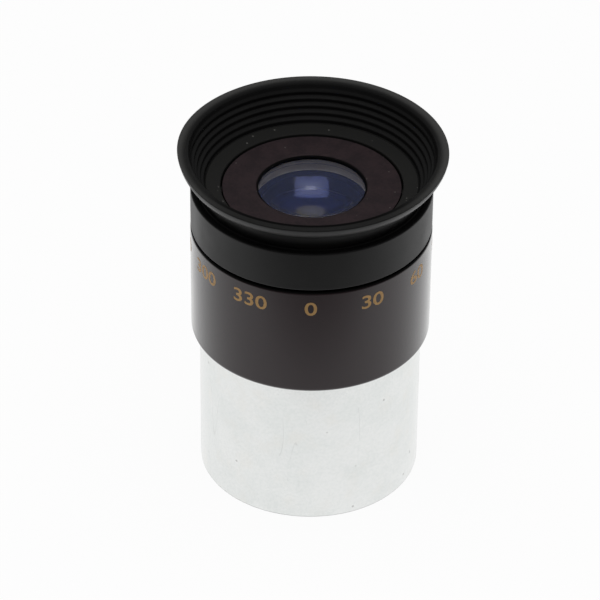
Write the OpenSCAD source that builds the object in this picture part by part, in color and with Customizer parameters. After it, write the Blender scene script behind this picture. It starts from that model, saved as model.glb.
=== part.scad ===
// Telescope eyepiece, 1.25 inch class: two cemented doublets, 15 mm focal length.
// Sizes are in millimetres. The optical axis is Z and the nosepiece stands on Z = 0.

/* [Nosepiece] */
// Outside diameter of the nosepiece
nose_d = 31.7; // [31:0.05:32]
// Length of the nosepiece below the barrel
nose_len = 23.45; // [20:0.05:30]
// Rounding of the nosepiece's lower outer edge
nose_round = 0.25; // [0.1:0.05:0.5]
// Bore of the filter thread at the lower end
filter_d = 28.5; // [27.5:0.1:29]
// Depth of the filter thread
filter_len = 5; // [3:0.1:8]
// Chamfer at the mouth of the filter thread
filter_chamfer = 0.4; // [0.1:0.05:0.6]
// Bore between the filter thread and the field stop
baffle_d = 26.4; // [24:0.1:27]
// Depth of the nosepiece's seat in the barrel's underside
seat_depth = 0.3; // [0.2:0.05:0.6]
// Taper of the nosepiece's upper edge in that seat
seat_taper = 0.1; // [0.05:0.01:0.3]
// Outside diameter of the thread that goes up into the barrel
spigot_d = 29.2; // [28.6:0.1:30]
// Length of that thread
spigot_len = 5; // [4:0.1:6]
// Wall of the tube behind that thread
spigot_wall = 1; // [0.8:0.05:1.2]
// Chamfer at the start of that thread
spigot_chamfer = 0.3; // [0.1:0.05:0.5]
// Width of the relief groove at the root of that thread
relief_w = 0.6; // [0.3:0.05:1]
// Depth of the relief groove
relief_depth = 0.35; // [0.1:0.05:0.5]

/* [Barrel] */
// Outside diameter of the barrel
barrel_d = 34.1; // [33.3:0.1:36]
// Length of the plain barrel, up to the eyecup's seam
barrel_len = 17.1; // [16:0.1:22]
// Rounding of the barrel's lower edge
barrel_round = 0.6; // [0.2:0.05:0.9]
// Rounding of the barrel's edge at the seam
seam_round = 0.4; // [0.1:0.05:0.5]
// Diameter of the neck under the eyecup
neck_d = 30.9; // [29.5:0.1:31.5]
// Height of the eye plate above the seam
neck_len = 6.25; // [5.5:0.05:8]
// Depth of the neck's groove for the eyecup's bead
groove_depth = 0.7; // [0.4:0.05:1]
// Height of the groove's middle above the seam
groove_mid = 3.6; // [2.5:0.1:4.2]
// Diameter of the raised eye plate
plate_d = 25.2; // [22:0.1:27]
// Height of the eye plate above the neck's shoulder
plate_step = 0.7; // [0.4:0.05:1.2]
// Chamfer around the eye plate
plate_chamfer = 0.12; // [0.05:0.01:0.3]
// Clear diameter of the eye hole
eye_hole_d = 15; // [13:0.1:15.4]
// Thickness of the lip that holds the eye lens
eye_lip = 0.6; // [0.5:0.05:1.2]
// Width of the chamfer around the eye hole
eye_chamfer = 0.4; // [0.1:0.05:0.6]
// Depth of that chamfer
eye_chamfer_depth = 0.25; // [0.1:0.05:0.4]
// Wall of the barrel around the retaining ring's thread
cell_wall = 1.5; // [1:0.1:2.5]

/* [Lenses] */
// Diameter of the four lens elements
lens_d = 16; // [15.6:0.1:17]
// Radius of both faces of the crown elements
crown_r = 15.1; // [14.5:0.1:18]
// Thickness of a crown element at its edge
crown_edge = 2.4; // [1.8:0.05:3]
// Radius of the outer face of the flint elements
flint_r = 80; // [45:1:200]
// Thickness of a flint element on the axis
flint_t = 0.8; // [0.6:0.05:1.4]
// Width of the flat bevel on the flint's inner edge
flint_bevel = 0.2; // [0.1:0.05:0.4]
// Air gap between the two doublets on the axis
air_gap = 0.5; // [0.2:0.05:1.5]
// Distance from the field lens down to the focal plane
back_focus = 9.6; // [8.5:0.1:11]

/* [Rings] */
// Wall of the ring between the doublets
spacer_wall = 1; // [0.6:0.05:1.6]
// Thread depth of the retaining ring outside the lenses
ring_thread = 0.55; // [0.3:0.05:0.9]
// Width of the retaining ring's lip under the field lens
ring_lip = 0.9; // [0.5:0.05:1.4]
// Thickness of the retaining ring
ring_t = 2; // [1.2:0.1:2.6]
// Clear diameter of the field stop
stop_d = 13.2; // [11:0.1:14]
// Thickness of the field stop's ring
stop_t = 2; // [1.4:0.1:3]
// Thickness of the field stop's knife edge
stop_edge = 0.2; // [0.1:0.05:0.4]
// Flare of the field stop's aperture below its edge, on the diameter
stop_flare = 3.2; // [1:0.1:5]
// Width of the spanner slots in both rings
slot_w = 1.2; // [0.8:0.1:2]
// Depth of the spanner slots
slot_depth = 0.8; // [0.4:0.1:1]

/* [Eyecup] */
// Outside diameter of the skirt over the neck
skirt_d = 34; // [33.9:0.1:36]
// Height of the skirt
skirt_len = 6.1; // [5.8:0.05:6.4]
// Open seam between the barrel and the skirt
seam_gap = 0.35; // [0.15:0.05:0.6]
// Rounding of the skirt's lower edge
skirt_foot_round = 0.2; // [0.1:0.05:0.4]
// Rounding of the skirt's upper edge
skirt_top_round = 0.25; // [0.15:0.05:0.5]
// Outside diameter of the rim
rim_d = 38.2; // [36:0.1:42]
// Height of the rim above the eye plate
rim_h = 5.75; // [5.5:0.05:8]
// Width of the rim's top, out to its outer edge
lip_flat = 1.2; // [0.8:0.05:1.6]
// Rounding of the rim's outer edge
lip_round = 0.18; // [0.1:0.02:0.4]
// Rounding of the rim's inner edge
lip_inner_round = 1.6; // [0.4:0.05:2]
// Height of the upright band around the rim
lip_band = 0.15; // [0.05:0.05:0.6]
// Radius that turns the band under into the flare
lip_under = 0.6; // [0.3:0.05:1.2]
// Slope of the flare's outer side below the rim, in degrees
flare_top = 42; // [35:1:50]
// Inside diameter at the foot of the flare
foot_d = 29; // [28.4:0.1:30]
// Height of the foot of the flare above the eye plate
foot_h = 0.65; // [0.5:0.05:1]
// Height of the rubber floor above the eye plate
floor_h = 0.3; // [0.15:0.05:0.4]
// Rounding of the rubber floor's inner edge
floor_round = 0.2; // [0.1:0.05:0.3]
// Outside diameter of the waist where the flare folds down
waist_d = 31.4; // [30.8:0.1:31.5]
// Radius of the fold groove at the waist
fold_r = 0.3; // [0.15:0.05:0.3]
// Distance from groove to groove along the flare
ridge_pitch = 0.99; // [0.6:0.01:1.4]
// Depth of the grooves between the ridges
ridge_depth = 0.28; // [0.1:0.02:0.4]
// Plain part of the flare below the first groove
ridge_start = 0.29; // [0.2:0.01:0.6]
// Least plain part of the flare above the last groove
ridge_clear = 0.3; // [0.25:0.05:1]
// Height of the bead in the neck's groove
bead_h = 1.4; // [1:0.1:1.8]
// Chamfer of the bead
bead_chamfer = 0.25; // [0.1:0.05:0.4]

/* [Fits] */
// Radial play of the eyecup on the neck
cup_play = 0.05; // [0.03:0.01:0.1]
// Play beside the eyecup's bead
bead_play = 0.1; // [0.05:0.01:0.2]
// Gap between the eye plate and the rubber floor
plate_gap = 0.15; // [0.1:0.01:0.25]
// Radial play of the lenses in their bore
lens_play = 0.05; // [0.03:0.01:0.1]
// Play where a lens meets its seat
seat_play = 0.05; // [0.02:0.01:0.1]
// Cement between the two elements of a doublet
cement = 0.02; // [0.01:0.005:0.05]
// Radial play of the threads
thread_play = 0.05; // [0.03:0.01:0.1]
// Free height above the nosepiece's thread
thread_end = 0.25; // [0.1:0.05:0.6]

/* [Hidden] */
$fn = 128;
LENS_FN = 480;
ARC_STEPS = 8;
RIDGE_STEPS = 6;
CUT = 1;

// Height of a spherical face between its middle and a radius
function sag(face_r, r) = face_r - sqrt(face_r * face_r - r * r);

// Points on an arc about a centre, from one angle to another
function arc(centre, r, from, to) =
    [for (i = [0 : ARC_STEPS])
        let (a = from + (to - from) * i / ARC_STEPS)
        centre + r * [cos(a), sin(a)]];

nose_r = nose_d / 2;
filter_r = filter_d / 2;
baffle_r = baffle_d / 2;
spigot_r = spigot_d / 2;
stop_bore_r = spigot_r - spigot_wall;
barrel_r = barrel_d / 2;
neck_r = neck_d / 2;
plate_r = plate_d / 2;
eye_hole_r = eye_hole_d / 2;
lens_r = lens_d / 2;

// Heights on the axis, from the nosepiece up to the eye plate
shoulder_z = nose_len;
seat_z = shoulder_z + seat_depth;
spigot_top_z = seat_z + spigot_len;
cavity_z = spigot_top_z + thread_end;
seam_z = shoulder_z + barrel_len;
plate_z = seam_z + neck_len;
neck_top_z = plate_z - plate_step;
lens_seat_z = plate_z - eye_lip;

// Faces of the lenses on the axis, from the eye downwards
crown_t = crown_edge + 2 * sag(crown_r, lens_r);
doublet_t = flint_t + cement + crown_t;
eye_face_z = lens_seat_z + sag(flint_r, eye_hole_r) - seat_play;
eye_back_z = eye_face_z - doublet_t;
field_back_z = eye_back_z - air_gap;
field_face_z = field_back_z - doublet_t;
focus_z = field_face_z - back_focus;

// Rings, each set against the lens or seat that it touches
spacer_r = lens_r - spacer_wall;
spacer_h = air_gap + 2 * (sag(crown_r, spacer_r) - seat_play);
spacer_z = field_back_z - sag(crown_r, spacer_r) + seat_play;
ring_r = lens_r + ring_thread;
ring_hole_r = lens_r - ring_lip;
ring_top_z = field_face_z + sag(flint_r, ring_hole_r) - seat_play;
ring_bore_top_z = ring_top_z + seat_play;
ring_foot_z = ring_top_z - ring_t;
cell_r = ring_r + thread_play + cell_wall;
stop_r = stop_d / 2;
stop_seat_z = focus_z - stop_t;

// Eyecup radii and heights
skirt_r = skirt_d / 2;
rim_r = rim_d / 2;
cup_bore_r = neck_r + cup_play;
cup_foot_z = seam_z + seam_gap;
skirt_top_z = cup_foot_z + skirt_len;
rim_z = plate_z + rim_h;
waist = [waist_d / 2, skirt_top_z];
floor_r = plate_r + plate_gap;
floor_z = plate_z + floor_h;
flare_foot = [foot_d / 2, plate_z + foot_h];
lip_inner_centre = [rim_r - lip_flat, rim_z - lip_inner_round];
lip_outer_centre = [rim_r - lip_round, rim_z - lip_round];
under_centre = [rim_r - lip_under, rim_z - lip_round - lip_band];
groove_r = neck_r - groove_depth;
groove_mid_z = seam_z + groove_mid;
groove_h = bead_h + 2 * bead_play;
bead_r = groove_r + bead_play;

// Bell curve of the flare's outer side, from under the rim down to the waist
flare_normal = [cos(flare_top - 90), sin(flare_top - 90)];
under_end = under_centre + lip_under * flare_normal;
bell_chord = under_end - waist;
chord_slope = atan2(bell_chord[1], bell_chord[0]);
bell_r = norm(bell_chord) / (2 * sin(chord_slope - flare_top));
bell_centre = under_end + bell_r * flare_normal;

// Points of that curve between its two ends
function bell_points() =
    let (points = arc(bell_centre, bell_r, flare_top + 90, 2 * chord_slope - flare_top + 90))
    [for (i = [1 : ARC_STEPS - 1]) points[i]];

// Slope of the line from a point that touches a circle on its inner side
function inner_touch_slope(point, centre, r) =
    let (d = centre - point)
    atan2(d[1], d[0]) + asin(r / norm(d));

wall_slope = inner_touch_slope(flare_foot, lip_inner_centre, lip_inner_round);
wall_along = [cos(wall_slope), sin(wall_slope)];
wall_outward = [sin(wall_slope), -cos(wall_slope)];
wall_len = wall_along * (lip_inner_centre - flare_foot);

// As many grooves as the wall has room for
ridge_gaps = floor((wall_len - ridge_start - ridge_clear) / ridge_pitch);

// Ridged inner wall of the flare: round ridges with a sharp groove between each two
function ridge_points() =
    [for (i = [0 : ridge_gaps * RIDGE_STEPS])
        let (along = ridge_start + ridge_pitch * i / RIDGE_STEPS)
        let (depth = ridge_depth * (1 - abs(sin(180 * i / RIDGE_STEPS))))
        flare_foot + along * wall_along + depth * wall_outward];

// Where the plain part of the wall starts again, above the last groove
ridge_end = ridge_start + ridge_pitch * ridge_gaps + ridge_depth / 2;

module ring_slots(outer_r, z) {
    translate([-outer_r - CUT, -slot_w / 2, z])
        cube([2 * (outer_r + CUT), slot_w, slot_depth]);
}

module nosepiece() {
    color([0.86, 0.87, 0.87])
        rotate_extrude()
            polygon(concat(
                [[filter_r + filter_chamfer, 0]],
                arc([nose_r - nose_round, nose_round], nose_round, -90, 0),
                [
                    [nose_r, shoulder_z],
                    [nose_r - seat_taper, seat_z],
                    [spigot_r - relief_depth, seat_z],
                    [spigot_r - relief_depth, seat_z + relief_w],
                    [spigot_r, seat_z + relief_w + relief_depth],
                    [spigot_r, spigot_top_z - spigot_chamfer],
                    [spigot_r - spigot_chamfer, spigot_top_z],
                    [stop_bore_r, spigot_top_z],
                    [stop_bore_r, stop_seat_z],
                    [baffle_r, stop_seat_z],
                    [baffle_r, filter_len],
                    [filter_r, filter_len],
                    [filter_r, filter_chamfer]
                ]
            ));
}

module field_stop() {
    outer_r = stop_bore_r - thread_play;
    color([0.08, 0.08, 0.08])
        difference() {
            rotate_extrude()
                polygon([
                    [stop_r, focus_z],
                    [outer_r, focus_z],
                    [outer_r, stop_seat_z],
                    [stop_r + stop_flare / 2, stop_seat_z],
                    [stop_r, focus_z - stop_edge]
                ]);
            difference() {
                ring_slots(outer_r, focus_z - slot_depth);
                translate([0, 0, focus_z - slot_depth - CUT])
                    cylinder(r = (outer_r + baffle_r) / 2 - slot_w, h = slot_depth + 2 * CUT);
            }
        }
}

module barrel() {
    color([0.19, 0.165, 0.17])
        rotate_extrude()
            polygon(concat(
                [
                    [spigot_r + thread_play, seat_z],
                    [nose_r + thread_play, seat_z],
                    [nose_r + thread_play, shoulder_z]
                ],
                arc([barrel_r - barrel_round, shoulder_z + barrel_round], barrel_round, -90, 0),
                arc([barrel_r - seam_round, seam_z - seam_round], seam_round, 0, 90),
                [
                    [neck_r, seam_z],
                    [neck_r, groove_mid_z - groove_h / 2],
                    [groove_r, groove_mid_z - groove_h / 2],
                    [groove_r, groove_mid_z + groove_h / 2],
                    [neck_r, groove_mid_z + groove_h / 2],
                    [neck_r, neck_top_z],
                    [plate_r, neck_top_z],
                    [plate_r, plate_z - plate_chamfer],
                    [plate_r - plate_chamfer, plate_z],
                    [eye_hole_r + eye_chamfer, plate_z],
                    [eye_hole_r, plate_z - eye_chamfer_depth],
                    [eye_hole_r, lens_seat_z],
                    [lens_r + lens_play, lens_seat_z],
                    [lens_r + lens_play, ring_bore_top_z],
                    [ring_r + thread_play, ring_bore_top_z],
                    [ring_r + thread_play, ring_foot_z],
                    [cell_r, ring_foot_z],
                    [cell_r, cavity_z],
                    [spigot_r + thread_play, cavity_z]
                ]
            ));
}

module retaining_ring() {
    color([0.08, 0.08, 0.08])
        difference() {
            translate([0, 0, ring_foot_z])
                cylinder(r = ring_r, h = ring_t);
            translate([0, 0, ring_foot_z - CUT])
                cylinder(r = ring_hole_r, h = ring_t + 2 * CUT);
            ring_slots(ring_r, ring_foot_z);
        }
}

module eyecup() {
    color([0.1, 0.1, 0.1])
        rotate_extrude()
            polygon(concat(
                arc([floor_r + floor_round, floor_z - floor_round], floor_round, 180, 90),
                [flare_foot],
                ridge_points(),
                [flare_foot + ridge_end * wall_along],
                arc(lip_inner_centre, lip_inner_round, wall_slope + 90, 90),
                arc(lip_outer_centre, lip_round, 90, 0),
                arc(under_centre, lip_under, 0, flare_top - 90),
                bell_points(),
                arc(waist + [fold_r, 0], fold_r, 180, 360),
                arc([skirt_r - skirt_top_round, skirt_top_z - skirt_top_round], skirt_top_round, 90, 0),
                arc([skirt_r - skirt_foot_round, cup_foot_z + skirt_foot_round], skirt_foot_round, 0, -90),
                [
                    [cup_bore_r, cup_foot_z],
                    [cup_bore_r, groove_mid_z - bead_h / 2],
                    [bead_r + bead_chamfer, groove_mid_z - bead_h / 2],
                    [bead_r, groove_mid_z - bead_h / 2 + bead_chamfer],
                    [bead_r, groove_mid_z + bead_h / 2 - bead_chamfer],
                    [bead_r + bead_chamfer, groove_mid_z + bead_h / 2],
                    [cup_bore_r, groove_mid_z + bead_h / 2],
                    [cup_bore_r, neck_top_z + cup_play],
                    [floor_r, neck_top_z + cup_play]
                ]
            ));
}

// Flint element with its outer face up, touching Z = 0
module flint() {
    edge_z = -flint_t - sag(crown_r, lens_r - flint_bevel);
    color([0.25, 0.3, 0.5, 0.6])
        difference() {
            intersection() {
                translate([0, 0, edge_z])
                    cylinder(r = lens_r, h = -edge_z);
                translate([0, 0, -flint_r])
                    sphere(r = flint_r, $fn = LENS_FN);
            }
            translate([0, 0, -flint_t - crown_r])
                sphere(r = crown_r, $fn = LENS_FN);
        }
}

// Crown element under that flint, with the cement between them
module crown() {
    top_z = -flint_t - cement;
    color([0.3, 0.36, 0.55, 0.6])
        intersection() {
            translate([0, 0, top_z - crown_t])
                cylinder(r = lens_r, h = crown_t);
            translate([0, 0, top_z - crown_r])
                sphere(r = crown_r, $fn = LENS_FN);
            translate([0, 0, top_z - crown_t + crown_r])
                sphere(r = crown_r, $fn = LENS_FN);
        }
}

module eye_flint() {
    translate([0, 0, eye_face_z])
        flint();
}

module eye_crown() {
    translate([0, 0, eye_face_z])
        crown();
}

module field_crown() {
    translate([0, 0, field_face_z])
        mirror([0, 0, 1])
            crown();
}

module field_flint() {
    translate([0, 0, field_face_z])
        mirror([0, 0, 1])
            flint();
}

module lens_spacer() {
    color([0.08, 0.08, 0.08])
        translate([0, 0, spacer_z])
            difference() {
                cylinder(r = lens_r, h = spacer_h);
                translate([0, 0, -CUT])
                    cylinder(r = spacer_r, h = spacer_h + 2 * CUT);
            }
}

nosepiece();
field_stop();
barrel();
retaining_ring();
eyecup();
eye_flint();
eye_crown();
lens_spacer();
field_crown();
field_flint();
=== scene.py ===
"""Looks of the telescope eyepiece: rubber eyecup, cemented lenses, threads, degree scale and finishes."""

import math

import bpy
from mathutils import Matrix, Vector


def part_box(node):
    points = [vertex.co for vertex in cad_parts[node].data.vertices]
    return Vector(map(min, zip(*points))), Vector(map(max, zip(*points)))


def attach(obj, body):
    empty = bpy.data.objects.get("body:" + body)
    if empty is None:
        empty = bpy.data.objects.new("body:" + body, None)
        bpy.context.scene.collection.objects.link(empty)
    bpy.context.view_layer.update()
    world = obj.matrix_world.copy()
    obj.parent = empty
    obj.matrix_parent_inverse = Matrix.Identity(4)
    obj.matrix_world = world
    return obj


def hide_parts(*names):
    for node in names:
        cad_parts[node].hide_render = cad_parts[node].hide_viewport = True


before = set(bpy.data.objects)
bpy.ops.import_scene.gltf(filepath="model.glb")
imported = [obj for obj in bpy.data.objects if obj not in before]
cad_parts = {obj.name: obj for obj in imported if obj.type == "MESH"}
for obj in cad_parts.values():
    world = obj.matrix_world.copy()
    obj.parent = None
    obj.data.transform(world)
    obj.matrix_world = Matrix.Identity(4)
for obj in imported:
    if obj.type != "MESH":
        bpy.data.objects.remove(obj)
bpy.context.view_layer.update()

MM = 0.001
TURN = 2 * math.pi


def reach(node):
    """Outer radius, foot and top of a solid, in millimetres."""
    low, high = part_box(node)
    return high.x / MM, low.z / MM, high.z / MM


# Sizes of the solids, in millimetres
nose_r, nose_foot_z, spigot_top_z = reach("nosepiece")
barrel_r, shoulder_z, plate_z = reach("barrel")
rim_r, cup_foot_z, rim_z = reach("eyecup")
lens_r, eye_edge_z, eye_face_z = reach("eye_flint")
_, field_face_z, field_edge_z = reach("field_flint")
_, eye_back_z, _ = reach("eye_crown")
_, _, field_back_z = reach("field_crown")

# Fineness of the meshes, and sizes of every thread's section in millimetres
SPIN_STEPS = 192
LENS_SPIN_STEPS = 160
ARC_STEPS = 8
LENS_ARC_STEPS = 28
SMOOTH_ANGLE = math.radians(32)
MERGE = 1e-6
BRACE = 0.04
BRACED_OVER = 0.5
THREAD_STEPS = 72
THREAD_POINTS = 4
THREAD_SINK = 0.06
THREAD_CREST = 0.08
THREAD_FLANK = math.radians(30)
RUN_OUT_TURNS = 0.3


def arc(centre, radius, start, end, steps=ARC_STEPS):
    """Points on an arc about a centre, from one angle in degrees to another."""
    points = []
    for i in range(steps + 1):
        angle = math.radians(start + (end - start) * i / steps)
        points.append((centre[0] + radius * math.cos(angle), centre[1] + radius * math.sin(angle)))
    return points


# Modelling helpers


def start_ring(name, outline):
    """A closed wire through the (radius, height) points of a half section."""
    bpy.ops.object.select_all(action="DESELECT")
    bpy.ops.mesh.primitive_circle_add(vertices=len(outline), radius=barrel_r * MM)
    piece = bpy.context.object
    piece.name = name
    piece.data.name = name
    for vertex, (radius, height) in zip(piece.data.vertices, outline):
        vertex.co = (radius * MM, 0, height * MM)
    return piece


def close_up(piece):
    """Merges the seam of a swept mesh, turns its faces outwards and shades it smooth."""
    bpy.ops.object.mode_set(mode="EDIT")
    bpy.ops.mesh.select_all(action="SELECT")
    bpy.ops.mesh.remove_doubles(threshold=MERGE)
    bpy.ops.mesh.dissolve_degenerate(threshold=MERGE)
    bpy.ops.mesh.normals_make_consistent(inside=False)
    bpy.ops.object.mode_set(mode="OBJECT")
    bpy.ops.object.shade_smooth_by_angle(angle=SMOOTH_ANGLE)
    return piece


def brace(outline):
    """Adds a point near both ends of each long straight stretch, which keeps its shading flat."""
    braced = []
    for i, point in enumerate(outline):
        after = outline[(i + 1) % len(outline)]
        braced.append(point)
        length = math.dist(point, after)
        if length > BRACED_OVER:
            for share in (BRACE / length, 1 - BRACE / length):
                braced.append(tuple(a + share * (b - a) for a, b in zip(point, after)))
    return braced


def turn(name, outline, steps=SPIN_STEPS):
    """A piece turned round the optical axis from its half section."""
    piece = start_ring(name, brace(outline))
    bpy.ops.object.mode_set(mode="EDIT")
    bpy.ops.mesh.select_all(action="SELECT")
    bpy.ops.mesh.spin(steps=steps, angle=TURN, center=(0, 0, 0), axis=(0, 0, 1))
    bpy.ops.object.mode_set(mode="OBJECT")
    return close_up(piece)


def thread(name, root_r, crest_r, foot_z, top_z, pitch, start_turn=0.0):
    """A right-hand thread between two heights, which runs out into its root at both ends."""
    sink = math.copysign(THREAD_SINK, root_r - crest_r)
    half = (abs(crest_r - root_r) + THREAD_SINK) * math.tan(THREAD_FLANK) + THREAD_CREST / 2
    first_z = foot_z + half
    outline = [
        (root_r + sink, first_z - half),
        (crest_r, first_z - THREAD_CREST / 2),
        (crest_r, first_z + THREAD_CREST / 2),
        (root_r + sink, first_z + half),
    ]
    piece = start_ring(name, outline)
    turns = (top_z - foot_z - 2 * half) / pitch
    steps = int(turns * THREAD_STEPS)
    screw = piece.modifiers.new("screw", "SCREW")
    screw.axis = "Z"
    screw.angle = TURN * turns
    screw.screw_offset = pitch * turns * MM
    screw.steps = steps
    screw.render_steps = steps
    screw.use_merge_vertices = False
    bpy.ops.object.modifier_apply(modifier=screw.name)
    run_out(piece, turns, root_r + sink)
    piece.data.transform(Matrix.Rotation(TURN * start_turn, 4, "Z"))
    bpy.ops.object.mode_set(mode="EDIT")
    bpy.ops.mesh.select_all(action="SELECT")
    bpy.ops.mesh.fill_holes(sides=0)
    bpy.ops.object.mode_set(mode="OBJECT")
    return close_up(piece)


def run_out(piece, turns, buried_r):
    """Sinks the ends of a thread into its root over a part of a turn."""
    for index, vertex in enumerate(piece.data.vertices):
        along = index // THREAD_POINTS / THREAD_STEPS
        end = max(0.0, 1 - min(along, turns - along) / RUN_OUT_TURNS)
        radius = math.hypot(vertex.co.x, vertex.co.y)
        drawn_in = radius + (buried_r * MM - radius) * end
        vertex.co.x *= drawn_in / radius
        vertex.co.y *= drawn_in / radius


# Eyecup: lengths in millimetres, angles in degrees

FLOOR_R = 12.75
FLOOR_RISE = 0.3
FLOOR_ROUND = 0.2
FOOT_R = 14.8
FOOT_RISE = 0.65
GROOVES = 5
GROOVE_PITCH = 0.96
GROOVE_DEPTH = 0.28
GROOVE_START = 0.12
GROOVE_STEPS = 12
TOP_SETBACK = 0.07
LIP_STEPS = 16
BELL_STEPS = 16
WALL_TOP = 68
LIP_FLAT = 1.1
LIP_ROUND = 0.12
LIP_INNER_ROUND = 0.6
LIP_TUCK = 12
LIP_UNDER = 3.2
FLARE_TOP = 42
WAIST_R = 15.7
SKIRT_R = 17.0
SKIRT_TOP_Z = 47.0
SKIRT_TOP_ROUND = 0.25
SKIRT_FOOT_ROUND = 0.2
FOLD_R = 0.3
CUP_BORE_R = 15.5
CUP_CEILING_Z = 46.15
BEAD_R = 14.85
BEAD_FOOT_Z = 43.45
BEAD_TOP_Z = 44.85
BEAD_CHAMFER = 0.25
RIM_LEAN = 0.27
RIM_ROLL = 0.18
RIM_PULL = 0.35
ROLL_WIDTH = 1.5
# Each dent's angle, depth and spread
RIM_DENTS = ((-162, 0.5, 28), (-25, 0.22, 25))


def flare_wall():
    """Ridged inner wall of the flare: a bowl that steepens from its foot up to the rim's inner edge."""
    foot = (FOOT_R, plate_z + FOOT_RISE)
    lip = arc((rim_r - LIP_FLAT, rim_z - LIP_INNER_ROUND), LIP_INNER_ROUND, WALL_TOP + 90, 90, LIP_STEPS)
    across, up = lip[0][0] - foot[0], lip[0][1] - foot[1]
    chord_slope = math.atan2(up, across)
    half_bend = math.radians(WALL_TOP) - chord_slope
    bowl_r = math.hypot(across, up) / (2 * math.sin(half_bend))
    foot_slope = chord_slope - half_bend
    centre = (foot[0] - bowl_r * math.sin(foot_slope), foot[1] + bowl_r * math.cos(foot_slope))

    def on_wall(along, depth):
        slope = foot_slope + along / bowl_r
        out = bowl_r + depth
        return (centre[0] + out * math.sin(slope), centre[1] - out * math.cos(slope))

    wall = [foot, on_wall(GROOVE_START / 2, 0)]
    for i in range(GROOVES * GROOVE_STEPS - GROOVE_STEPS // 2 + 1):
        depth = GROOVE_DEPTH * (1 + math.cos(TURN * i / GROOVE_STEPS)) / 2
        wall.append(on_wall(GROOVE_START + GROOVE_PITCH * i / GROOVE_STEPS, depth))
    crest = GROOVE_START + GROOVE_PITCH * (GROOVES - 0.5)
    for i in range(1, GROOVE_STEPS // 2 + 1):
        depth = TOP_SETBACK * (1 - math.cos(TURN * i / GROOVE_STEPS)) / 2
        wall.append(on_wall(crest + GROOVE_PITCH * i / GROOVE_STEPS, depth))
    return wall + lip


def flare_bell():
    """Outer side of the flare: the rim's edge, a round turn under it and a bell down to the waist."""
    edge = arc((rim_r - LIP_ROUND, rim_z - LIP_ROUND), LIP_ROUND, 90, -LIP_TUCK)
    inset = LIP_UNDER - LIP_ROUND
    tuck = math.radians(LIP_TUCK)
    under_centre = (
        rim_r - LIP_ROUND - inset * math.cos(tuck),
        rim_z - LIP_ROUND + inset * math.sin(tuck),
    )
    turn_under = arc(under_centre, LIP_UNDER, -LIP_TUCK, FLARE_TOP - 90, LIP_STEPS)
    end = turn_under[-1]
    across, up = end[0] - WAIST_R, end[1] - SKIRT_TOP_Z
    bend = 2 * (math.degrees(math.atan2(up, across)) - FLARE_TOP)
    radius = math.hypot(across, up) / (2 * math.sin(math.radians(bend / 2)))
    away = math.radians(FLARE_TOP - 90)
    centre = (end[0] + radius * math.cos(away), end[1] + radius * math.sin(away))
    bell = arc(centre, radius, FLARE_TOP + 90, FLARE_TOP + 90 + bend, BELL_STEPS)
    return edge + turn_under[1:] + bell[1:-1]


def eyecup_outline():
    """Half section of the fold-down rubber eyecup."""
    floor_z = plate_z + FLOOR_RISE
    skirt_edge_r = SKIRT_R - SKIRT_TOP_ROUND
    return (
        arc((FLOOR_R + FLOOR_ROUND, floor_z - FLOOR_ROUND), FLOOR_ROUND, 180, 90)
        + flare_wall()
        + flare_bell()
        + arc((WAIST_R + FOLD_R, SKIRT_TOP_Z), FOLD_R, 180, 360)
        + arc((skirt_edge_r, SKIRT_TOP_Z - SKIRT_TOP_ROUND), SKIRT_TOP_ROUND, 90, 0)
        + arc((SKIRT_R - SKIRT_FOOT_ROUND, cup_foot_z + SKIRT_FOOT_ROUND), SKIRT_FOOT_ROUND, 0, -90)
        + [
            (CUP_BORE_R, cup_foot_z),
            (CUP_BORE_R, BEAD_FOOT_Z),
            (BEAD_R + BEAD_CHAMFER, BEAD_FOOT_Z),
            (BEAD_R, BEAD_FOOT_Z + BEAD_CHAMFER),
            (BEAD_R, BEAD_TOP_Z - BEAD_CHAMFER),
            (BEAD_R + BEAD_CHAMFER, BEAD_TOP_Z),
            (CUP_BORE_R, BEAD_TOP_Z),
            (CUP_BORE_R, CUP_CEILING_Z),
            (FLOOR_R, CUP_CEILING_Z),
        ]
    )


def soften_rim(cup):
    """Leans the soft flare forwards, rolls its front rim in and down, and presses it in at two places."""
    for vertex in cup.data.vertices:
        above = (vertex.co.z / MM - SKIRT_TOP_Z) / (rim_z - SKIRT_TOP_Z)
        radius = math.hypot(vertex.co.x, vertex.co.y) / MM
        if above <= 0 or radius < FOOT_R:
            continue
        around = math.degrees(math.atan2(vertex.co.y, vertex.co.x))
        pressed = 0.0
        for angle, depth, spread in RIM_DENTS:
            off = (around - angle + 180) % 360 - 180
            pressed += depth * math.exp(-((off / spread) ** 2))
        kept = 1 - above * pressed / radius
        vertex.co.x *= kept
        vertex.co.y *= kept
        inner = min(1.0, max(0.0, (rim_r - radius) / ROLL_WIDTH))
        front = max(0.0, -vertex.co.y / (rim_r * MM))
        fold = inner * (above * front) ** 2
        pulled = 1 - RIM_PULL * fold / radius
        vertex.co.x *= pulled
        vertex.co.y *= pulled
        vertex.co.z += RIM_LEAN * above * vertex.co.y / rim_r - RIM_ROLL * MM * fold


def make_eyecup():
    """Rubber eyecup with a soft, slightly uneven rim."""
    cup = turn("rubber_eyecup", eyecup_outline())
    soften_rim(cup)
    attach(cup, "eyecup")
    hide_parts("eyecup")
    cup.data.materials.append(rubber_finish())


# Nosepiece and threads

NOSE_ROUND = 0.25
FILTER_R = 14.25
FILTER_LEN = 5.0
FILTER_CHAMFER = 0.4
FILTER_PITCH = 0.6
FILTER_DEPTH = 0.32
BAFFLE_R = 13.2
STOP_BORE_R = 13.6
SEAT_DEPTH = 0.3
SEAT_TAPER = 0.1
SPIGOT_R = 14.6
SPIGOT_CHAMFER = 0.3
SPIGOT_THREAD = 0.34
SPIGOT_PITCH = 0.75
RELIEF_W = 0.95
THREAD_PLAY = 0.05
BARREL_BORE_TOP_Z = 29.0


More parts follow.
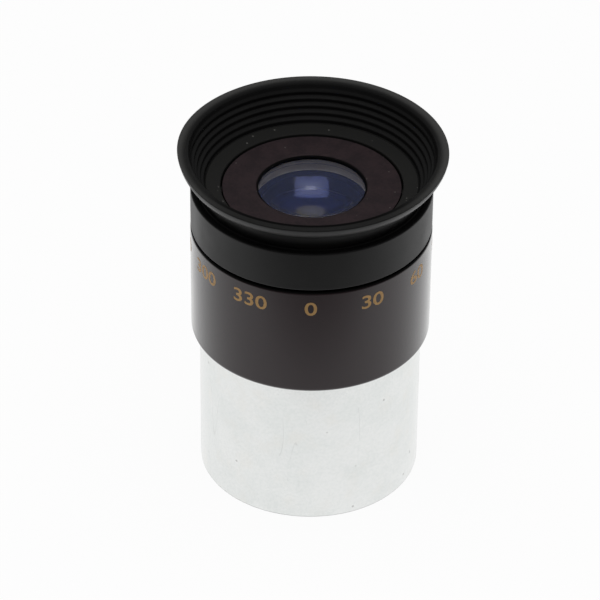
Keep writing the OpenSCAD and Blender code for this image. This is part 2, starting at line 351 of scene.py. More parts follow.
def nosepiece_outline():
    """Half section of the chromed tube, with its upper thread cut down to the root."""
    seat_z = shoulder_z + SEAT_DEPTH
    root_r = SPIGOT_R - SPIGOT_THREAD
    stop_seat_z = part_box("field_stop")[0].z / MM
    return (
        [(FILTER_R + FILTER_CHAMFER, nose_foot_z)]
        + arc((nose_r - NOSE_ROUND, nose_foot_z + NOSE_ROUND), NOSE_ROUND, -90, 0)
        + [
            (nose_r, shoulder_z),
            (nose_r - SEAT_TAPER, seat_z),
            (root_r, seat_z),
            (root_r, spigot_top_z - SPIGOT_CHAMFER / 2),
            (root_r - SPIGOT_CHAMFER / 2, spigot_top_z),
            (STOP_BORE_R, spigot_top_z),
            (STOP_BORE_R, stop_seat_z),
            (BAFFLE_R, stop_seat_z),
            (BAFFLE_R, nose_foot_z + FILTER_LEN),
            (FILTER_R, nose_foot_z + FILTER_LEN),
            (FILTER_R, nose_foot_z + FILTER_CHAMFER),
        ]
    )


def make_nosepiece():
    """Chromed nosepiece with its filter thread below and the barrel's thread above."""
    chrome = chrome_finish()
    tube = turn("chrome_nosepiece", nosepiece_outline())
    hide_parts("nosepiece")
    seat_z = shoulder_z + SEAT_DEPTH
    root_r = SPIGOT_R - SPIGOT_THREAD
    upper = thread("spigot_thread", root_r, SPIGOT_R, seat_z + RELIEF_W, spigot_top_z, SPIGOT_PITCH)
    filter_top_z = nose_foot_z + FILTER_LEN
    filter_foot_z = nose_foot_z + FILTER_CHAMFER
    lower = thread(
        "filter_thread", FILTER_R, FILTER_R - FILTER_DEPTH, filter_foot_z, filter_top_z, FILTER_PITCH
    )
    for piece in (tube, upper, lower):
        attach(piece, "nosepiece")
        piece.data.materials.append(chrome)


def make_barrel_thread(finish):
    """Thread in the barrel's lower end, whose crests lie between the nosepiece's."""
    bore_r = SPIGOT_R + THREAD_PLAY
    foot_z = shoulder_z + SEAT_DEPTH
    between = 0.5 - RELIEF_W / SPIGOT_PITCH
    inner = thread(
        "barrel_thread", bore_r, bore_r - SPIGOT_THREAD, foot_z, BARREL_BORE_TOP_Z, SPIGOT_PITCH, between
    )
    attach(inner, "barrel")
    inner.data.materials.append(finish)


# Lenses

FLINT_FACE_R = 80.0
CROWN_FACE_R = 15.1
EDGE_BEVEL = 0.12
CEMENT_GROOVE = 0.06


def doublet_outline(face_z, cement_z, back_z):
    """Half section of a cemented pair, from its outer face to its back, whichever way up it lies."""
    way = math.copysign(1, face_z - back_z)
    flint_span = math.degrees(math.asin((lens_r - EDGE_BEVEL) / FLINT_FACE_R))
    crown_span = math.degrees(math.asin((lens_r - EDGE_BEVEL) / CROWN_FACE_R))
    flint_centre_z = face_z - way * FLINT_FACE_R
    crown_centre_z = back_z + way * CROWN_FACE_R
    face = arc((0, flint_centre_z), FLINT_FACE_R, 90 * way, way * (90 - flint_span), LENS_ARC_STEPS)
    back = arc((0, crown_centre_z), CROWN_FACE_R, way * (crown_span - 90), -90 * way, LENS_ARC_STEPS)
    edge = [
        (lens_r, face[-1][1] - way * EDGE_BEVEL),
        (lens_r, cement_z + way * CEMENT_GROOVE),
        (lens_r - CEMENT_GROOVE, cement_z),
        (lens_r, cement_z - way * CEMENT_GROOVE),
        (lens_r, back[0][1] + way * EDGE_BEVEL),
    ]
    return face + edge + back


def make_doublet(name, nodes, finishes, face_z, cement_z, back_z):
    """One cemented pair: coated faces, with a ground edge as a second finish."""
    lens = turn(name, doublet_outline(face_z, cement_z, back_z), LENS_SPIN_STEPS)
    for finish in finishes:
        lens.data.materials.append(finish)
    for face in lens.data.polygons:
        middle = face.center
        if math.hypot(middle.x, middle.y) > (lens_r - EDGE_BEVEL) * MM:
            face.material_index = 1
    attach(lens, "lens_stack")
    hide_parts(*nodes)


# Degree scale

SCALE_STEP = 30
FIGURE_H = 2.2
FIGURE_FOOT_Z = 36.75
FIGURE_STRETCH = 1.22
FIGURE_PROUD = 0.008
FIGURE_SUNK = 0.02
FIGURE_SLICE = 0.35
FIGURE_BOLD = 0.012
FIGURE_CURVES = 6
FIGURE_EXTRUDE = 0.1


def make_figure(number):
    """One number of the scale, flat in X and Y, at its real height."""
    bpy.ops.object.select_all(action="DESELECT")
    bpy.ops.object.text_add()
    figure = bpy.context.object
    figure.data.body = str(number)
    figure.data.align_x = "CENTER"
    figure.data.resolution_u = FIGURE_CURVES
    figure.data.extrude = FIGURE_EXTRUDE
    figure.data.offset = FIGURE_BOLD
    bpy.ops.object.convert(target="MESH")
    heights = [vertex.co.y for vertex in figure.data.vertices]
    size = FIGURE_H * MM / (max(heights) - min(heights))
    depth = (FIGURE_PROUD + FIGURE_SUNK) * MM / (2 * FIGURE_EXTRUDE)
    lift = Matrix.Translation((0, -min(heights), 0))
    figure.data.transform(Matrix.Diagonal((size * FIGURE_STRETCH, size, depth, 1)) @ lift)
    return figure


def slice_figure(figure):
    """Cuts a flat figure into narrow strips, so that it can lie round the barrel."""
    half = max(abs(vertex.co.x) for vertex in figure.data.vertices) / MM
    strips = int(half / FIGURE_SLICE)
    bpy.ops.object.mode_set(mode="EDIT")
    for i in range(-strips, strips + 1):
        bpy.ops.mesh.select_all(action="SELECT")
        bpy.ops.mesh.bisect(plane_co=(i * FIGURE_SLICE * MM, 0, 0), plane_no=(1, 0, 0))
    bpy.ops.object.mode_set(mode="OBJECT")


def wrap_figure(figure, angle):
    """Lays a flat figure on the barrel at an angle from the front."""
    surface = barrel_r + (FIGURE_PROUD - FIGURE_SUNK) / 2
    for vertex in figure.data.vertices:
        around = angle + vertex.co.x / (barrel_r * MM)
        radius = surface * MM + vertex.co.z
        height = FIGURE_FOOT_Z * MM + vertex.co.y
        vertex.co = (radius * math.sin(around), -radius * math.cos(around), height)


def make_scale():
    """Plain degree numbers all round the barrel."""
    figures = []
    for number in range(0, 360, SCALE_STEP):
        figure = make_figure(number)
        slice_figure(figure)
        wrap_figure(figure, math.radians(number))
        figures.append(figure)
    for figure in figures:
        figure.select_set(True)
    bpy.context.view_layer.objects.active = figures[0]
    bpy.ops.object.join()
    scale = bpy.context.object
    scale.name = "degree_scale"
    scale.data.name = scale.name
    bpy.ops.object.mode_set(mode="EDIT")
    bpy.ops.mesh.select_all(action="SELECT")
    bpy.ops.mesh.remove_doubles(threshold=MERGE)
    bpy.ops.mesh.normals_make_consistent(inside=False)
    bpy.ops.object.mode_set(mode="OBJECT")
    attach(scale, "barrel")
    scale.data.materials.append(gold_print_finish())


# Shader helpers

FADE_OUT = (1.0, 0.0)
MIX_COLOURS = (6, 7)
MIX_RESULT = 2


def fill(tree, socket, value):
    """Links a socket into an input, or sets the input to a plain value."""
    if isinstance(value, bpy.types.NodeSocket):
        tree.links.new(value, socket)
    else:
        socket.default_value = value


def add(tree, kind, **settings):
    """A shader node; a setting that names an input fills or links that input."""
    node = tree.nodes.new(kind)
    for name, value in settings.items():
        if hasattr(node, name):
            setattr(node, name, value)
        else:
            fill(tree, node.inputs[name], value)
    return node


def math_node(tree, operation, first, second=0.0, clamp=False):
    """A sum or other operation on one or two values or sockets."""
    node = add(tree, "ShaderNodeMath", operation=operation, use_clamp=clamp)
    fill(tree, node.inputs[0], first)
    fill(tree, node.inputs[1], second)
    return node.outputs[0]


def times(tree, first, *others):
    """The product of several masks or values."""
    for other in others:
        first = math_node(tree, "MULTIPLY", first, other)
    return first


def inverse(tree, mask):
    """What a mask leaves."""
    return math_node(tree, "SUBTRACT", 1.0, mask)


def ramp(tree, value, span, ends=(0.0, 1.0)):
    """A smooth change from one end value to the other as a socket goes through a span."""
    node = add(tree, "ShaderNodeMapRange", interpolation_type="SMOOTHSTEP", Value=value)
    for name, number in zip(("From Min", "From Max", "To Min", "To Max"), (*span, *ends)):
        node.inputs[name].default_value = number
    return node.outputs[0]


def ramp_mm(tree, value, span, ends=(0.0, 1.0)):
    """A ramp over a span in millimetres."""
    return ramp(tree, value, [end * MM for end in span], ends)


def shade_ramp(tree, value, shades):
    """Greys that a socket runs through, as pairs of a position and a shade."""
    node = add(tree, "ShaderNodeValToRGB", Fac=value)
    stops = node.color_ramp.elements
    while len(stops) < len(shades):
        stops.new(1.0)
    for stop, (position, shade) in zip(stops, shades):
        stop.position = position
        stop.color = (shade, shade, shade, 1)
    return node.outputs["Color"]


def mix_colour(tree, share, first, second):
    """Two colours, or colour sockets, mixed by a mask."""
    node = add(tree, "ShaderNodeMix", data_type="RGBA", Factor=share)
    for index, value in zip(MIX_COLOURS, (first, second)):
        colour = value if isinstance(value, bpy.types.NodeSocket) else (*value, 1)
        fill(tree, node.inputs[index], colour)
    return node.outputs[MIX_RESULT]


def paint_over(tree, tint, *layers):
    """A colour with others laid over it, each as a mask and a colour."""
    for mask, colour in layers:
        tint = mix_colour(tree, mask, tint, colour)
    return tint


def split(tree, vector):
    """The X, Y and Z of a vector."""
    return add(tree, "ShaderNodeSeparateXYZ", Vector=vector).outputs


def axis_distance(tree, place):
    """Distance of a point from the optical axis."""
    flat = add(tree, "ShaderNodeVectorMath", operation="MULTIPLY")
    tree.links.new(place, flat.inputs[0])
    flat.inputs[1].default_value = (1, 1, 0)
    length = add(tree, "ShaderNodeVectorMath", operation="LENGTH")
    tree.links.new(flat.outputs[0], length.inputs[0])
    return length.outputs["Value"]


# Node groups that the finishes share

HAIRLINE_STRETCH = (1, 1, 0.12)
HAIRLINE_LEAN = (0.25, 0.12, 0)
HAIRLINE_PATCH = 190.0


def new_group(name, inputs, outputs):
    """An empty node group with a Vector input, named float inputs and float outputs."""
    group = bpy.data.node_groups.new(name, "ShaderNodeTree")
    group.interface.new_socket(name="Vector", in_out="INPUT", socket_type="NodeSocketVector")
    for title in inputs:
        group.interface.new_socket(name=title, in_out="INPUT", socket_type="NodeSocketFloat")
    for title in outputs:
        group.interface.new_socket(name=title, in_out="OUTPUT", socket_type="NodeSocketFloat")
    entry = group.nodes.new("NodeGroupInput")
    result = group.nodes.new("NodeGroupOutput")
    return group, entry.outputs, result.inputs


def grain_group():
    """Fine even grain, from a moulded or blasted surface, and slow cloudy patches."""
    group, given, result = new_group("surface_grain", ["Grain", "Cloud"], ["Grain", "Cloud"])
    place = given["Vector"]
    for title, detail in (("Grain", 3.0), ("Cloud", 4.0)):
        noise = add(group, "ShaderNodeTexNoise", Vector=place, Scale=given[title], Detail=detail)
        group.links.new(noise.outputs["Fac"], result[title])
    return group


def speck_group():
    """Sparse small specks, as of dust on rubber or pits in plating."""
    group, given, result = new_group("specks", ["Scale", "Size", "Share"], ["Mask"])
    cells = add(group, "ShaderNodeTexVoronoi", Vector=given["Vector"], Scale=given["Scale"])
    near = math_node(group, "LESS_THAN", cells.outputs["Distance"], given["Size"])
    pick = add(group, "ShaderNodeSeparateColor", Color=cells.outputs["Color"])
    chosen = math_node(group, "LESS_THAN", pick.outputs["Red"], given["Share"])
    group.links.new(times(group, near, chosen), result["Mask"])
    return group


def hairline_group():
    """Thin scattered hairlines, longest along the optical axis."""
    group, given, result = new_group("hairlines", ["Scale", "Width", "Share"], ["Mask"])
    stretch = add(group, "ShaderNodeMapping", Vector=given["Vector"])
    stretch.inputs["Scale"].default_value = HAIRLINE_STRETCH
    stretch.inputs["Rotation"].default_value = HAIRLINE_LEAN
    lines = add(group, "ShaderNodeTexNoise", Vector=stretch.outputs[0], Scale=given["Scale"], Detail=1.0)
    off = math_node(group, "ABSOLUTE", math_node(group, "SUBTRACT", lines.outputs["Fac"], 0.5))
    thin = math_node(group, "LESS_THAN", off, given["Width"])
    patch = add(group, "ShaderNodeTexNoise", Vector=given["Vector"], Scale=HAIRLINE_PATCH, Detail=1.0)
    chosen = math_node(group, "LESS_THAN", patch.outputs["Fac"], given["Share"])
    group.links.new(times(group, thin, chosen), result["Mask"])
    return group


GRAIN = grain_group()
SPECKS = speck_group()
HAIRLINES = hairline_group()


def use_group(tree, group, **values):
    """A placed node group with its own values."""
    return add(tree, "ShaderNodeGroup", node_tree=group, **values).outputs


def new_finish(name):
    """A material with its node tree, its Principled shader and the object's own coordinates."""
    material = bpy.data.materials.new(name)
    material.use_nodes = True
    tree = material.node_tree
    shader = tree.nodes["Principled BSDF"]
    place = tree.nodes.new("ShaderNodeTexCoord").outputs["Object"]
    return material, tree, shader, place


def set_inputs(tree, shader, values):
    """Links or sets inputs of a shader by their names."""
    for name, value in values.items():
        fill(tree, shader.inputs[name], value)


def bump(tree, shader, height, strength, depth):
    """Relief on a shader's surface, with its depth in millimetres."""
    node = add(tree, "ShaderNodeBump", Height=height, Strength=strength, Distance=depth * MM)
    tree.links.new(node.outputs["Normal"], shader.inputs["Normal"])


# Finishes: tints and gloss run from one end to the other with the cloudy patches

CLOUD_SPAN = (0.3, 0.7)

RUBBER_TINTS = ((0.0065, 0.0065, 0.0065), (0.0105, 0.0105, 0.0105))
RUBBER_FLOOR = (0.0125, 0.0125, 0.012)
# Painted highlight: a lighter tint for the lip's top at the back and sides
RUBBER_LIP_HIGHLIGHT = (0.048, 0.048, 0.047)
# Painted shade: a near-black tint for the front lip's inner crease
RUBBER_CREASE_SHADE = (0.0025, 0.0025, 0.0025)
RUBBER_DUST = (0.09, 0.088, 0.082)
RUBBER_GLOSS = (0.36, 0.44)
RUBBER_SHINE = 0.28
FLOOR_SPAN = (FOOT_R - 0.1, FOOT_R + 0.2)
LIP_TOP_SPAN = (rim_z - 0.55, rim_z - 0.25)
LIP_EDGE_SPAN = (rim_r - 1.5, rim_r - 0.5)
BACK_AND_SIDES_SPAN = (-0.9 * rim_r, -0.3 * rim_r)
CREASE_SIDE_SPAN = (rim_r - LIP_FLAT - 0.1, rim_r - LIP_FLAT + 0.3)
CREASE_TOP_SPAN = (rim_z - 1.6, rim_z - 1.1)


def rubber_finish():
    """Black moulded rubber: painted highlight atop the lip at back and sides, painted shade in the matt
    front crease, dusty floor.
    """
    material, tree, shader, place = new_finish("black_rubber")
    grain = use_group(tree, GRAIN, Vector=place, Grain=7000.0, Cloud=220.0)
    dust = use_group(tree, SPECKS, Vector=place, Scale=1300.0, Size=0.16, Share=0.1)
    radius = axis_distance(tree, place)
    along = split(tree, place)
    floor = ramp_mm(tree, radius, FLOOR_SPAN, FADE_OUT)
    lip = ramp_mm(tree, along["Z"], LIP_TOP_SPAN)
    edge = ramp_mm(tree, radius, LIP_EDGE_SPAN)
    back_and_sides = ramp_mm(tree, along["Y"], BACK_AND_SIDES_SPAN)
    inside = ramp_mm(tree, radius, CREASE_SIDE_SPAN, FADE_OUT)
    top = ramp_mm(tree, along["Z"], CREASE_TOP_SPAN)
    # Painted shade in the front lip's inner crease, which is also made matt
    shaded_crease = times(tree, inside, top, inverse(tree, back_and_sides))
    # Painted highlight on the lip's top at the back and sides, and painted shade in the front's crease
    tint = paint_over(
        tree,
        mix_colour(tree, grain["Cloud"], *RUBBER_TINTS),
        (floor, RUBBER_FLOOR),
        (times(tree, lip, edge, back_and_sides), RUBBER_LIP_HIGHLIGHT),
        (shaded_crease, RUBBER_CREASE_SHADE),
        (times(tree, dust["Mask"], floor), RUBBER_DUST),
    )
    gloss = ramp(tree, grain["Cloud"], CLOUD_SPAN, RUBBER_GLOSS)
    values = {
        "Base Color": tint,
        "Roughness": math_node(tree, "MAXIMUM", gloss, shaded_crease),
        "Specular IOR Level": RUBBER_SHINE,
    }
    set_inputs(tree, shader, values)
    bump(tree, shader, grain["Grain"], strength=0.25, depth=0.02)
    return material


ANODISED_TINTS = ((0.0125, 0.003, 0.005), (0.0175, 0.005, 0.0075))
ANODISED_GLOSS = (0.19, 0.23)
ANODISED_IOR = 1.3
SEALED_GLOSS = 0.21
SEALED_IOR = 1.33
# Black round the eye hole; painted shade in the gap at the plate's edge and under the eyecup's skirt
BLACK_AND_PAINTED_SHADE = (0.001, 0.001, 0.001)
PLATE_TINTS = ((0.021, 0.0155, 0.0175), (0.0305, 0.021, 0.0232))
PLATE_DUST = (0.10, 0.09, 0.085)
DULL_PLATE = 0.32
BLOTCH_SPAN = (0.38, 0.62)
PLATE_SPAN = (plate_z - 0.6, plate_z - 0.3)
SEAM_SPAN = (cup_foot_z - 0.7, cup_foot_z - 0.5)
EYE_EDGE_R = 7.76
PLATE_EDGE_R = 12.52


def barrel_finish():
    """Dark brown satin anodising, sealed outside; a dull mottled eye plate, black round the eye hole, and
    painted shade at the plate's edge and under the eyecup.
    """
    material, tree, shader, place = new_finish("brown_anodised")
    grain = use_group(tree, GRAIN, Vector=place, Grain=12000.0, Cloud=180.0)
    bloom = use_group(tree, GRAIN, Vector=place, Grain=2600.0, Cloud=420.0)
    dust = use_group(tree, SPECKS, Vector=place, Scale=1300.0, Size=0.14, Share=0.09)
    radius = axis_distance(tree, place)
    height = split(tree, place)["Z"]
    plate = ramp_mm(tree, height, PLATE_SPAN)
    above_seam = ramp_mm(tree, height, SEAM_SPAN)
    mottled = times(tree, math_node(tree, "ADD", bloom["Grain"], bloom["Cloud"]), 0.5)
    dull = mix_colour(tree, ramp(tree, mottled, BLOTCH_SPAN), *PLATE_TINTS)
    eye_edge = math_node(tree, "LESS_THAN", radius, EYE_EDGE_R * MM)
    # Painted shade: a dark ring for the gap between the plate and the rubber floor
    plate_gap_shade = times(tree, math_node(tree, "GREATER_THAN", radius, PLATE_EDGE_R * MM), plate)
    # Painted shade on the barrel's top, under the eyecup's skirt
    shade_under_skirt = math_node(tree, "SUBTRACT", above_seam, plate)
    black_and_shaded = math_node(tree, "MAXIMUM", math_node(tree, "MAXIMUM", eye_edge, plate_gap_shade), shade_under_skirt)
    tint = paint_over(
        tree,
        mix_colour(tree, grain["Cloud"], *ANODISED_TINTS),
        (plate, dull),
        (times(tree, dust["Mask"], plate), PLATE_DUST),
        (black_and_shaded, BLACK_AND_PAINTED_SHADE),
    )
    satin = ramp(tree, grain["Cloud"], CLOUD_SPAN, ANODISED_GLOSS)
    values = {
        "Base Color": tint,
        "Roughness": math_node(tree, "ADD", satin, times(tree, plate, DULL_PLATE)),
        "Coat Weight": inverse(tree, above_seam),
        "IOR": ANODISED_IOR,
        "Coat Roughness": SEALED_GLOSS,
        "Coat IOR": SEALED_IOR,
    }
    set_inputs(tree, shader, values)
    bump(tree, shader, grain["Grain"], strength=0.12, depth=0.01)
    return material


RING_TINTS = ((0.004, 0.004, 0.0045), (0.009, 0.009, 0.0095))
RING_GLOSS = (0.45, 0.58)
RING_SHINE = 0.3
TURNING_PITCH = 0.18


def ring_finish():
    """Dull black anodising of the inner rings, with fine turning marks."""
    material, tree, shader, place = new_finish("black_ring")
    grain = use_group(tree, GRAIN, Vector=place, Grain=10000.0, Cloud=300.0)
    marks = times(tree, axis_distance(tree, place), TURN / (TURNING_PITCH * MM))
    wave = math_node(tree, "SINE", marks)
    relief = math_node(tree, "ADD", times(tree, wave, 0.5), grain["Grain"])
    values = {
        "Base Color": mix_colour(tree, grain["Cloud"], *RING_TINTS),
        "Roughness": ramp(tree, grain["Cloud"], CLOUD_SPAN, RING_GLOSS),
        "Specular IOR Level": RING_SHINE,
    }
    set_inputs(tree, shader, values)
    bump(tree, shader, relief, strength=0.3, depth=0.01)
    return material


CHROME_TINTS = ((0.735, 0.758, 0.746), (0.82, 0.832, 0.822))
CHROME_STAIN = (0.78, 0.765, 0.72)
CHROME_WORN = (0.30, 0.29, 0.28)
CHROME_GLOSS = (0.16, 0.26)
MOTTLE_SPAN = (0.35, 0.65)
PATCH_ENDS = (-0.1, 0.5)
FINE_ENDS = (0.2, 0.6)
STAIN_SPAN = (0.5, 0.75)
STAIN_ENDS = (0.0, 0.3)
KNOCKED_SPAN = (0.6, 0.66)
LINE_WEAR = 0.3
WEAR_SHOWN = 0.45
GRAIN_RELIEF = 0.3
BORE_PAINT = (0.006, 0.006, 0.006)
PAINT_GLOSS = 0.65
PAINT_OVER = 0.5


def chrome_finish():
    """Worn bright plating outside, with stains, nicks and hairlines, and dull black paint in the bore."""
    material, tree, shader, place = new_finish("worn_chrome")
    grain = use_group(tree, GRAIN, Vector=place, Grain=2400.0, Cloud=170.0)
    stains = use_group(tree, GRAIN, Vector=place, Grain=260.0, Cloud=95.0)
    pits = use_group(tree, SPECKS, Vector=place, Scale=480.0, Size=0.09, Share=0.1)
    nicks = use_group(tree, SPECKS, Vector=place, Scale=900.0, Size=0.2, Share=0.3)
    lines = use_group(tree, HAIRLINES, Vector=place, Scale=260.0, Width=0.0025, Share=0.42)
    knocked = times(tree, nicks["Mask"], ramp(tree, stains["Cloud"], KNOCKED_SPAN))
    dents = math_node(tree, "MAXIMUM", pits["Mask"], knocked)
    wear = math_node(tree, "ADD", dents, times(tree, lines["Mask"], LINE_WEAR), clamp=True)
    patch = ramp(tree, grain["Cloud"], MOTTLE_SPAN, PATCH_ENDS)
    fine = ramp(tree, grain["Grain"], MOTTLE_SPAN, FINE_ENDS)
    mottled = math_node(tree, "ADD", patch, fine, clamp=True)
    paint = math_node(tree, "LESS_THAN", axis_distance(tree, place), (BAFFLE_R + PAINT_OVER) * MM)
    tint = paint_over(
        tree,
        mix_colour(tree, mottled, *CHROME_TINTS),
        (ramp(tree, stains["Grain"], STAIN_SPAN, STAIN_ENDS), CHROME_STAIN),
        (times(tree, wear, WEAR_SHOWN), CHROME_WORN),
        (paint, BORE_PAINT),
    )
    gloss = ramp(tree, grain["Cloud"], CLOUD_SPAN, CHROME_GLOSS)
    values = {
        "Base Color": tint,
        "Metallic": inverse(tree, paint),
        "Roughness": math_node(tree, "MAXIMUM", gloss, times(tree, paint, PAINT_GLOSS)),
    }
    set_inputs(tree, shader, values)
    relief = math_node(tree, "SUBTRACT", times(tree, grain["Grain"], GRAIN_RELIEF), wear)
    bump(tree, shader, relief, strength=0.12, depth=0.03)
    return material


GLASS_TINT = (0.44, 0.53, 1.0)
GLASS_DUST = (0.8, 0.8, 0.8)
GLASS_CLEAR = 0.969
GLASS_IOR = 1.52
GLASS_COATING = (0.5, 0.54, 0.8, 1)
HAZE_SPAN = (0.35, 0.7)
HAZE_ENDS = (0.035, 0.06)


def lens_finish():
    """Coated optical glass with a blue reflection."""
    material, tree, shader, place = new_finish("coated_glass")
    dust = use_group(tree, SPECKS, Vector=place, Scale=1100.0, Size=0.10, Share=0.010)
    smear = use_group(tree, GRAIN, Vector=place, Grain=4000.0, Cloud=300.0)
    haze = ramp(tree, smear["Cloud"], HAZE_SPAN, HAZE_ENDS)
    values = {
        "Base Color": mix_colour(tree, dust["Mask"], GLASS_TINT, GLASS_DUST),
        "Roughness": math_node(tree, "MAXIMUM", haze, dust["Mask"]),
        "Transmission Weight": GLASS_CLEAR,
        "IOR": GLASS_IOR,
        "Specular Tint": GLASS_COATING,
    }
    set_inputs(tree, shader, values)
    return material


GROUND_TINTS = ((0.84, 0.68, 0.37), (0.95, 0.78, 0.43))
GROUND_GLOSS = 0.7
CEMENT_TINT = (0.42, 0.35, 0.24)
CEMENT_SPAN = (0.03, 0.16)


def ground_edge_finish():
    """Warm ground edge of the glass, which looks grey through the blue face, darker along the cement."""
    material, tree, shader, place = new_finish("ground_glass_edge")
    grain = use_group(tree, GRAIN, Vector=place, Grain=9000.0, Cloud=500.0)
    tint = mix_colour(tree, grain["Cloud"], *GROUND_TINTS)
    height = split(tree, place)["Z"]
    for cement_z in (eye_edge_z, field_edge_z):
        off = math_node(tree, "ABSOLUTE", math_node(tree, "SUBTRACT", height, cement_z * MM))
        tint = mix_colour(tree, ramp_mm(tree, off, CEMENT_SPAN, FADE_OUT), tint, CEMENT_TINT)
    set_inputs(tree, shader, {"Base Color": tint, "Roughness": GROUND_GLOSS})
    bump(tree, shader, grain["Grain"], strength=0.3, depth=0.02)
    return material


GOLD_TINTS = ((0.385, 0.227, 0.082), (0.495, 0.295, 0.108))
GOLD_GLOSS = (0.38, 0.55)
GOLD_METAL = 0.3


def gold_print_finish():
    """Dull gold printing ink, a little uneven."""
    material, tree, shader, place = new_finish("gold_print")
    grain = use_group(tree, GRAIN, Vector=place, Grain=5000.0, Cloud=900.0)
    values = {
        "Base Color": mix_colour(tree, grain["Cloud"], *GOLD_TINTS),
        "Roughness": ramp(tree, grain["Grain"], CLOUD_SPAN, GOLD_GLOSS),
        "Metallic": GOLD_METAL,
    }
    set_inputs(tree, shader, values)
    bump(tree, shader, grain["Grain"], strength=0.15, depth=0.01)
    return material


# Stage, light and camera, in metres

WHITE = (1, 1, 1)
WARM = (1.0, 0.85, 0.3)
FLOOR_RADIUS = 2.0
FLOOR_SIDES = 96
FLOOR_DROP = 0.00003
FLOOR_MATT = (0.9, 0.9, 0.9, 1)
FLOOR_WHITE = 0.95
# Painted shadow on the floor inside the tube, as mirrors and glass see it
TUBE_SHADOW = (0.025, 0.025, 0.028)
# Painted light: the floor's glow as mirrors see it, darker towards the front as painted shade
GLOW_REACH = 0.1
GLOW_TURN = math.radians(4)
MIRRORED_GLOW_SHADES = (
    (0.0, 0.17),
    (0.14, 0.215),
    (0.24, 0.335),
    (0.3, 0.455),
    (0.48, 0.86),
    (0.55, 0.98),
    (1.0, 1.0),
)
SKY_SHADES = ((0.0, 0.3), (0.1, 0.14), (0.5, 0.14), (1.0, 0.13))
SIDE_SPAN = (-0.3, 0.4)
SIDE_SHADES = (0.8, 1.0)
SOFTBOXES = {
    "overhead_softbox": {
        "place": (0.0, -0.1, 0.9),
        "size": (0.9, 0.9),
        "radiance": 2.6,
        "mirrored": False,
    },
    "rear_softbox": {"place": (0.0, 0.81, 0.587), "size": (0.076, 0.13), "radiance": 0.28},
    "rear_softbox_middle": {"place": (0.0, 0.8, 0.592), "size": (0.05, 0.08), "radiance": 0.33},
    "rear_softbox_core": {"place": (0.0, 0.79, 0.586), "size": (0.026, 0.026), "radiance": 1.65},
}
REFLECTOR = {"place": (0.0, 0.73, 0.721), "size": (0.076, 0.07), "radiance": 0.866}
CAMERA_DISTANCE = 0.510108
CAMERA_PITCH = math.radians(35.908)
CAMERA_ROLL = math.radians(0.56)
CAMERA_TARGET = (-0.0015, 0.0, 0.027055)
CAMERA_LENS = 214.234


def make_floor():
    """Pale floor: white with a faint shadow to the camera; to mirrors, a glow with painted shade to the
    front and a painted shadow in the tube.
    """
    bpy.ops.object.select_all(action="DESELECT")
    bpy.ops.mesh.primitive_circle_add(
        vertices=FLOOR_SIDES, radius=FLOOR_RADIUS, fill_type="TRIFAN", location=(0, 0, -FLOOR_DROP)
    )
    floor = bpy.context.object
    floor.name = "floor"
    material = bpy.data.materials.new("pale_floor")
    material.use_nodes = True
    tree = material.node_tree
    tree.nodes.remove(tree.nodes["Principled BSDF"])
    place = tree.nodes.new("ShaderNodeTexCoord").outputs["Object"]
    front = add(tree, "ShaderNodeVectorMath", operation="DOT_PRODUCT")
    tree.links.new(place, front.inputs[0])
    front.inputs[1].default_value = (-math.sin(GLOW_TURN), math.cos(GLOW_TURN), 0)
    far = math_node(tree, "DIVIDE", front.outputs["Value"], GLOW_REACH)
    # Painted light for mirrors and glass: the floor's glow, darkening towards the front
    mirrored_glow = shade_ramp(tree, math_node(tree, "ADD", far, 1.0, clamp=True), MIRRORED_GLOW_SHADES)
    # Painted shadow: the floor is dark inside the nosepiece's footprint
    tube_shadow_mask = math_node(tree, "LESS_THAN", axis_distance(tree, place), nose_r * MM)
    path = tree.nodes.new("ShaderNodeLightPath").outputs
    shown = paint_over(tree, mirrored_glow, (tube_shadow_mask, TUBE_SHADOW), (path["Is Camera Ray"], WHITE))
    mirrored = math_node(tree, "ADD", path["Is Glossy Ray"], path["Is Transmission Ray"], clamp=True)
    seen = math_node(tree, "ADD", path["Is Camera Ray"], mirrored, clamp=True)
    matt = add(tree, "ShaderNodeBsdfDiffuse", Color=FLOOR_MATT)
    glow = add(tree, "ShaderNodeEmission", Color=shown, Strength=1.0)
    white = add(tree, "ShaderNodeMixShader", Fac=times(tree, seen, FLOOR_WHITE))
    tree.links.new(matt.outputs[0], white.inputs[1])
    tree.links.new(glow.outputs[0], white.inputs[2])
    underside = tree.nodes.new("ShaderNodeNewGeometry").outputs["Backfacing"]
    clear = tree.nodes.new("ShaderNodeBsdfTransparent")
    below = add(tree, "ShaderNodeMixShader", Fac=underside)
    tree.links.new(white.outputs[0], below.inputs[1])
    tree.links.new(clear.outputs[0], below.inputs[2])
    tree.links.new(below.outputs[0], tree.nodes["Material Output"].inputs["Surface"])
    floor.data.materials.append(material)


def make_world():
    """Dim studio: pale at the horizon, darker above and towards the camera, which itself sees white."""
    world = bpy.data.worlds.new("studio")
    bpy.context.scene.world = world
    world.use_nodes = True
    tree = world.node_tree
    direction = split(tree, tree.nodes.new("ShaderNodeTexCoord").outputs["Generated"])
    side = ramp(tree, direction["Y"], SIDE_SPAN, SIDE_SHADES)
    dim = add(tree, "ShaderNodeVectorMath", operation="SCALE", Scale=side)
    tree.links.new(shade_ramp(tree, direction["Z"], SKY_SHADES), dim.inputs[0])
    path = tree.nodes.new("ShaderNodeLightPath").outputs
    colour = mix_colour(tree, path["Is Camera Ray"], dim.outputs[0], WHITE)
    tree.links.new(colour, tree.nodes["Background"].inputs["Color"])


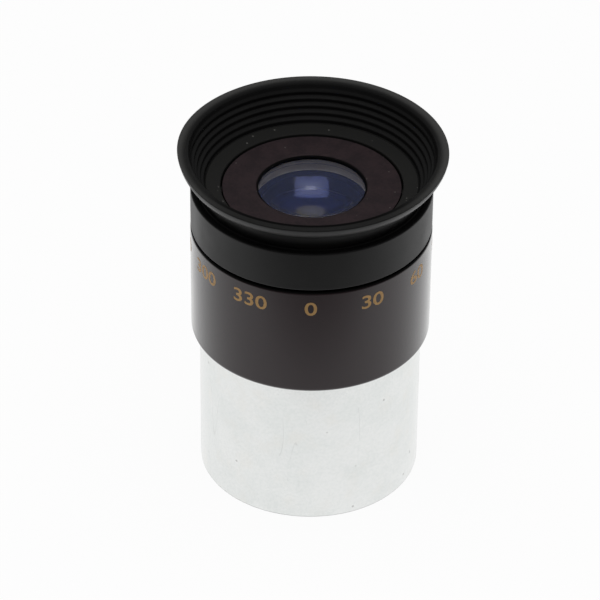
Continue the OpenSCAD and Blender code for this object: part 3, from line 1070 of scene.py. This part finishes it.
def make_lamp(name, place, size, radiance, shape="RECTANGLE", tint=WHITE, mirrored=True):
    """A lamp that faces the eyepiece, set by the brightness of its face; gloss needn't show it."""
    lamp = bpy.data.lights.new(name, "AREA")
    lamp.shape = shape
    lamp.color = tint
    lamp.size = size[0]
    lamp.size_y = size[1]
    share = math.pi / 4 if shape == "ELLIPSE" else 1
    lamp.energy = radiance * math.pi * share * size[0] * size[1]
    softbox = bpy.data.objects.new(name, lamp)
    bpy.context.collection.objects.link(softbox)
    softbox.location = place
    softbox.visible_glossy = mirrored
    aim = Vector((0, 0, plate_z * MM)) - Vector(place)
    softbox.rotation_euler = aim.to_track_quat("-Z", "Y").to_euler()


def make_camera():
    """Camera at the photograph's viewing angle."""
    camera = bpy.data.objects.new("camera", bpy.data.cameras.new("camera"))
    bpy.context.collection.objects.link(camera)
    camera.data.lens = CAMERA_LENS
    tilt = Matrix.Rotation(math.pi / 2 - CAMERA_PITCH, 4, "X")
    roll = Matrix.Rotation(CAMERA_ROLL, 4, "Z")
    back = Matrix.Translation((0, 0, CAMERA_DISTANCE))
    camera.matrix_world = Matrix.Translation(CAMERA_TARGET) @ tilt @ roll @ back
    bpy.context.scene.camera = camera


def dress(node, finish):
    """Gives a solid its finish."""
    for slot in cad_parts[node].material_slots:
        slot.material = finish


make_camera()
make_floor()
make_world()
for softbox_name, settings in SOFTBOXES.items():
    make_lamp(softbox_name, **settings)
make_lamp("rear_reflector", **REFLECTOR, shape="ELLIPSE", tint=WARM)

make_eyecup()
make_nosepiece()
anodised = barrel_finish()
dress("barrel", anodised)
make_barrel_thread(anodised)
ring_black = ring_finish()
for ring in ("field_stop", "retaining_ring", "lens_spacer"):
    dress(ring, ring_black)
glass = (lens_finish(), ground_edge_finish())
make_doublet("eye_lens", ("eye_flint", "eye_crown"), glass, eye_face_z, eye_edge_z, eye_back_z)
make_doublet("field_lens", ("field_flint", "field_crown"), glass, field_face_z, field_edge_z, field_back_z)
make_scale()

bpy.context.scene.view_settings.view_transform = "Standard"
